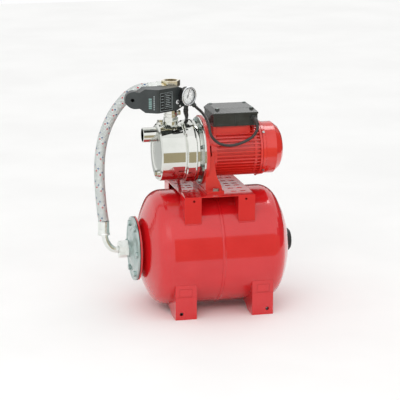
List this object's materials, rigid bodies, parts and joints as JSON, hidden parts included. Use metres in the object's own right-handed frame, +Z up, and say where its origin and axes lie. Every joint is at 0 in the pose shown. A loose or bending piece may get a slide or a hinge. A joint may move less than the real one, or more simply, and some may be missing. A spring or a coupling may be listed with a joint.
{
  "type": "water pump booster set",
  "caption": "Stainless jet pump and finned motor on a horizontal pressure tank, with braided hose, controller, pressure gauge and mains lead.",
  "frame": {"origin": "middle of the footprint on the floor, measured without the free hose, leads, coil and plug", "axes": "+Z up; pump, motor and tank axes along X with the suction port and tank flange towards -X; -Y is the front, with the controller, gauge and terminal box gland"},
  "size_m": [0.4832, 0.4411, 0.5608],
  "materials": {
    "tank_red": "semi-gloss powder coat",
    "motor_red": "semi-gloss paint on cast and extruded aluminium",
    "cover_red": "gloss",
    "zinc_plate": "bright zinc plate",
    "stainless": "mirror polished stainless steel",
    "epdm": "matte",
    "brass": "satin",
    "black_plastic": "fine texture",
    "ivory_plastic": "satin",
    "steel": "ground",
    "seal_carbon": "lapped",
    "electrical_steel": "laminated",
    "copper_winding": "enamelled copper",
    "capacitor_case": "satin",
    "button_chrome": "polished",
    "gauge_black": "gloss black, with a chromed bezel",
    "needle_black": "matte",
    "gauge_glass": "clear",
    "steel_braid": "stainless braid",
    "cable_rubber": "matte"
  },
  "bodies": {
    "base": {"tank_shell_left": "tank_red", "tank_shell_right": "tank_red", "counter_flange": "tank_red", "flange_plate": "zinc_plate", "flange_bolts": "zinc_plate", "tank_bladder": "epdm", "air_valve_body": "brass", "foot_front_left": "tank_red", "foot_front_right": "tank_red", "foot_rear_left": "tank_red", "foot_rear_right": "tank_red", "pump_plate": "tank_red", "pump_body": "stainless", "suction_port": "stainless", "ejector": "ivory_plastic", "diffuser": "ivory_plastic", "seal_seat": "seal_carbon", "seal_plate": "stainless", "body_o_ring": "epdm", "pump_bolts": "zinc_plate", "motor_bracket": "motor_red", "ball_bearings": "steel", "stator_core": "electrical_steel", "stator_windings": "copper_winding", "motor_housing": "motor_red", "rear_end_shield": "motor_red", "fan_cover": "cover_red", "case_screws": "zinc_plate", "terminal_box": "black_plastic", "terminal_box_lid": "black_plastic", "run_capacitor": "capacitor_case", "discharge_nipple": "stainless", "five_way_fitting": "brass", "check_valve_spring": "steel", "controller_housing": "black_plastic", "controller_cover": "black_plastic", "gauge_case": "gauge_black", "gauge_lens": "gauge_glass", "braided_hose": "steel_braid", "hose_ferrules": "zinc_plate", "hose_elbow": "zinc_plate", "swivel_nuts": "zinc_plate", "motor_lead": "cable_rubber", "mains_lead": "cable_rubber", "mains_coil": "cable_rubber", "mains_plug": "cable_rubber", "cable_glands": "black_plastic"},
    "rotor": {"motor_shaft": "steel", "impeller": "brass", "impeller_nut": "steel", "seal_head": "seal_carbon", "rotor_core": "electrical_steel", "cooling_fan": "black_plastic"},
    "needle": {"gauge_needle": "needle_black"},
    "button": {"restart_button": "button_chrome"},
    "poppet": {"check_valve_poppet": "ivory_plastic"},
    "valve_pin": {"air_valve_core": "brass"},
    "fill_plug": {"priming_plug": "stainless"},
    "bottom_plug": {"drain_plug": "stainless"},
    "end_cap": {"air_valve_cap": "black_plastic"}
  },
  "joints": [
    {"name": "rotor_spin", "type": "hinge", "parent": "base", "child": "rotor", "pos_m": [0, 0, 0.3865], "axis": [1, 0, 0], "continuous": true},
    {"name": "gauge_needle_turn", "type": "hinge", "parent": "base", "child": "needle", "pos_m": [-0.06248, -0.03268, 0.528], "axis": [0.515, -0.8572, 0], "range_deg": [-113, 157]},
    {"name": "restart_press", "type": "slide", "parent": "base", "child": "button", "axis": [-0.515, 0.8572, 0], "range_m": [0, 0.002], "stiffness_N_per_m": 400},
    {"name": "check_valve_lift", "type": "slide", "parent": "base", "child": "poppet", "axis": [0, 0, 1], "range_m": [0, 0.006], "stiffness_N_per_m": 40, "deforming": ["check_valve_spring"]},
    {"name": "air_valve_press", "type": "slide", "parent": "base", "child": "valve_pin", "axis": [-1, 0, 0], "range_m": [0, 0.0015], "stiffness_N_per_m": 300},
    {"name": "priming_plug_lift", "type": "slide", "parent": "base", "child": "fill_plug", "axis": [0, 0, 1], "range_m": [0, 0.024]},
    {"name": "drain_plug_pull", "type": "slide", "parent": "base", "child": "bottom_plug", "axis": [-1, 0, 0], "range_m": [0, 0.02]},
    {"name": "valve_cap_pull", "type": "slide", "parent": "base", "child": "end_cap", "axis": [1, 0, 0], "range_m": [0, 0.03]}
  ]
}
